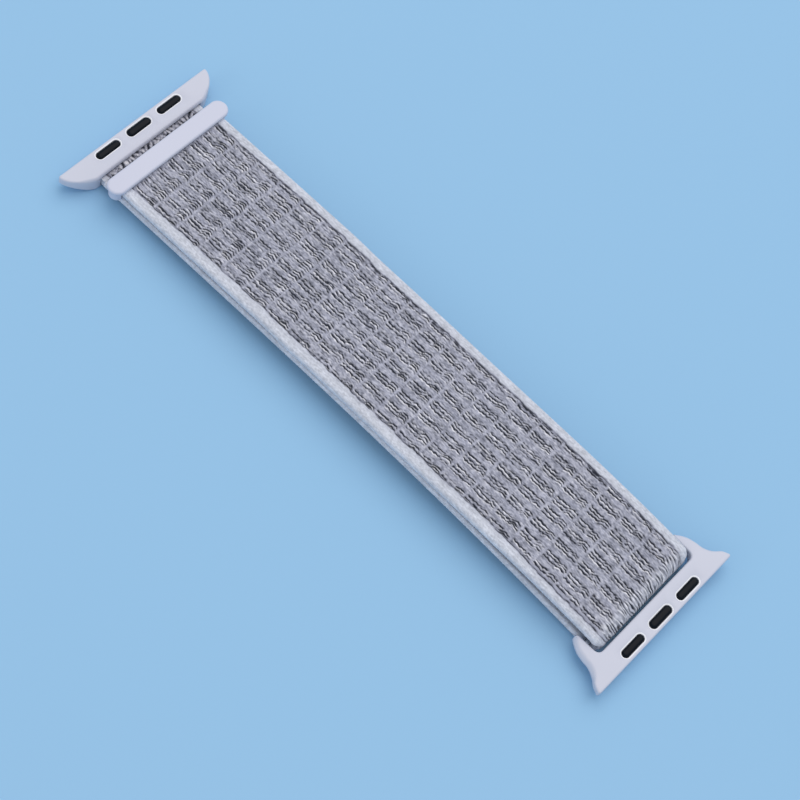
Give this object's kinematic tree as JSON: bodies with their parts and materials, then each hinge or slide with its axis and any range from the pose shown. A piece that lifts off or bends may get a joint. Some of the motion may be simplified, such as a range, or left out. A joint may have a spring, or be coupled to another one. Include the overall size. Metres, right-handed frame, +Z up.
{
  "type": "hook and loop watch strap",
  "caption": "Woven hook and loop watch strap that folds back through a slotted lug, with a sewn lug at its other end, sprung lock buttons and a tab on the free end.",
  "frame": {"origin": "on the surface that the strap lies on, at the middle of its length and width", "axes": "+X along the strap from the fixed lug to the slotted lug, +Y across the strap, +Z up from the face that lies on the surface to the face with the pads and the tab"},
  "size_m": [0.1122, 0.0312, 0.0053],
  "materials": {
    "woven_nylon": "heather light grey weave with pale selvages and a dark stitched line inside each",
    "moulded_nylon_hooks": "matt, fine moulded hooks",
    "moulded_tab_plastic": "smooth matt",
    "coated_lug_alloy": "smooth matt lavender-white coating",
    "black_pad_rubber": "soft gloss black",
    "spring_steel": "bright drawn wire"
  },
  "bodies": {
    "strap_middle": {"strap_lower_3": "woven_nylon"},
    "lower_run_towards_slotted_lug": {"strap_lower_2": "woven_nylon"},
    "slotted_end_of_strap": {"strap_lower_1": "woven_nylon", "strap_fold": "woven_nylon"},
    "lower_run_towards_fixed_lug": {"strap_lower_4": "woven_nylon"},
    "fixed_end_of_strap": {"strap_lower_5": "woven_nylon", "strap_sewn_end": "woven_nylon"},
    "upper_run_at_fold": {"strap_upper_1": "woven_nylon"},
    "upper_run_second": {"strap_upper_2": "woven_nylon"},
    "upper_run_third": {"strap_upper_3": "woven_nylon"},
    "upper_run_fourth": {"strap_upper_4": "woven_nylon"},
    "peeling_run": {"strap_free_end_1": "woven_nylon", "hook_patch_1": "moulded_nylon_hooks"},
    "free_end": {"strap_free_end_2": "woven_nylon", "hook_patch_2": "moulded_nylon_hooks", "end_tab_top_bar": "moulded_tab_plastic", "end_tab_bottom_bar": "moulded_tab_plastic", "end_tab_peg_left": "moulded_tab_plastic", "end_tab_peg_middle": "moulded_tab_plastic", "end_tab_peg_right": "moulded_tab_plastic"},
    "fixed_lug": {"fixed_lug_body": "coated_lug_alloy", "fixed_lug_base_plate": "coated_lug_alloy", "fixed_lug_crossbar": "spring_steel", "fixed_lug_friction_pad_left": "black_pad_rubber", "fixed_lug_friction_pad_right": "black_pad_rubber", "fixed_lug_lock_spring": "spring_steel"},
    "fixed_lug_lock": {"fixed_lug_lock_button": "black_pad_rubber"},
    "slotted_lug": {"slotted_lug_body": "coated_lug_alloy", "slotted_lug_base_plate": "coated_lug_alloy", "slotted_lug_crossbar": "spring_steel", "slotted_lug_friction_pad_left": "black_pad_rubber", "slotted_lug_friction_pad_right": "black_pad_rubber", "slotted_lug_lock_spring": "spring_steel"},
    "slotted_lug_lock": {"slotted_lug_lock_button": "black_pad_rubber"}
  },
  "joints": [
    {"name": "strap_curl", "type": "hinge", "parent": "strap_middle", "child": "lower_run_towards_slotted_lug", "pos_m": [0.00978, 0, 0.00523], "axis": [0, 1, 0], "range_deg": [-50, 0]},
    {"name": "lower_bend_near_slotted_lug", "type": "hinge", "parent": "lower_run_towards_slotted_lug", "child": "slotted_end_of_strap", "pos_m": [0.02929, 0, 0.00527], "axis": [0, 1, 0], "range_deg": [-50, 0]},
    {"name": "lower_bend_towards_fixed_lug", "type": "hinge", "parent": "strap_middle", "child": "lower_run_towards_fixed_lug", "pos_m": [-0.00978, 0, 0.00509], "axis": [0, 1, 0], "range_deg": [0, 50]},
    {"name": "lower_bend_near_fixed_lug", "type": "hinge", "parent": "lower_run_towards_fixed_lug", "child": "fixed_end_of_strap", "pos_m": [-0.02929, 0, 0.00491], "axis": [0, 1, 0], "range_deg": [0, 50]},
    {"name": "fold_opening", "type": "hinge", "parent": "slotted_end_of_strap", "child": "upper_run_at_fold", "pos_m": [0.04965, 0, 0.00215], "axis": [0, 1, 0], "range_deg": [0, 90], "deforming": ["strap_fold"]},
    {"name": "upper_bend_near_slotted_lug", "type": "hinge", "parent": "upper_run_at_fold", "child": "upper_run_second", "pos_m": [0.02929, 0, 0.00527], "axis": [0, 1, 0], "range_deg": [0, 50]},
    {"name": "upper_bend_towards_slotted_lug", "type": "hinge", "parent": "upper_run_second", "child": "upper_run_third", "pos_m": [0.00978, 0, 0.00523], "axis": [0, 1, 0], "range_deg": [0, 50]},
    {"name": "upper_bend_towards_fixed_lug", "type": "hinge", "parent": "upper_run_third", "child": "upper_run_fourth", "pos_m": [-0.00978, 0, 0.00509], "axis": [0, 1, 0], "range_deg": [0, 50]},
    {"name": "free_end_peel", "type": "hinge", "parent": "upper_run_fourth", "child": "peeling_run", "pos_m": [-0.01951, 0, 0.00522], "axis": [0, 1, 0], "range_deg": [0, 100]},
    {"name": "free_end_bend", "type": "hinge", "parent": "peeling_run", "child": "free_end", "pos_m": [-0.02929, 0, 0.00491], "axis": [0, 1, 0], "range_deg": [0, 50]},
    {"name": "fixed_lug_swing", "type": "hinge", "parent": "fixed_end_of_strap", "child": "fixed_lug", "pos_m": [-0.0527, 0, 0.0015], "axis": [0, 1, 0], "range_deg": [-15, 15]},
    {"name": "slotted_lug_swing", "type": "hinge", "parent": "slotted_end_of_strap", "child": "slotted_lug", "pos_m": [0.04965, 0, 0.00215], "axis": [0, 1, 0], "range_deg": [-30, 30]},
    {"name": "fixed_lug_lock_press", "type": "slide", "parent": "fixed_lug", "child": "fixed_lug_lock", "axis": [0, 0, -1], "range_m": [0, 0.0004], "stiffness_N_per_m": 300, "deforming": ["fixed_lug_lock_spring"]},
    {"name": "slotted_lug_lock_press", "type": "slide", "parent": "slotted_lug", "child": "slotted_lug_lock", "axis": [0, 0, -1], "range_m": [0, 0.0004], "stiffness_N_per_m": 300, "deforming": ["slotted_lug_lock_spring"]}
  ],
  "couplings": [
    {"joint": "lower_bend_near_slotted_lug", "follows": "strap_curl", "ratio": 1},
    {"joint": "lower_bend_towards_fixed_lug", "follows": "strap_curl", "ratio": -1},
    {"joint": "lower_bend_near_fixed_lug", "follows": "strap_curl", "ratio": -1},
    {"joint": "upper_bend_near_slotted_lug", "follows": "strap_curl", "ratio": -1},
    {"joint": "upper_bend_towards_slotted_lug", "follows": "strap_curl", "ratio": -1},
    {"joint": "upper_bend_towards_fixed_lug", "follows": "strap_curl", "ratio": -1},
    {"joint": "free_end_bend", "follows": "strap_curl", "ratio": -1}
  ]
}
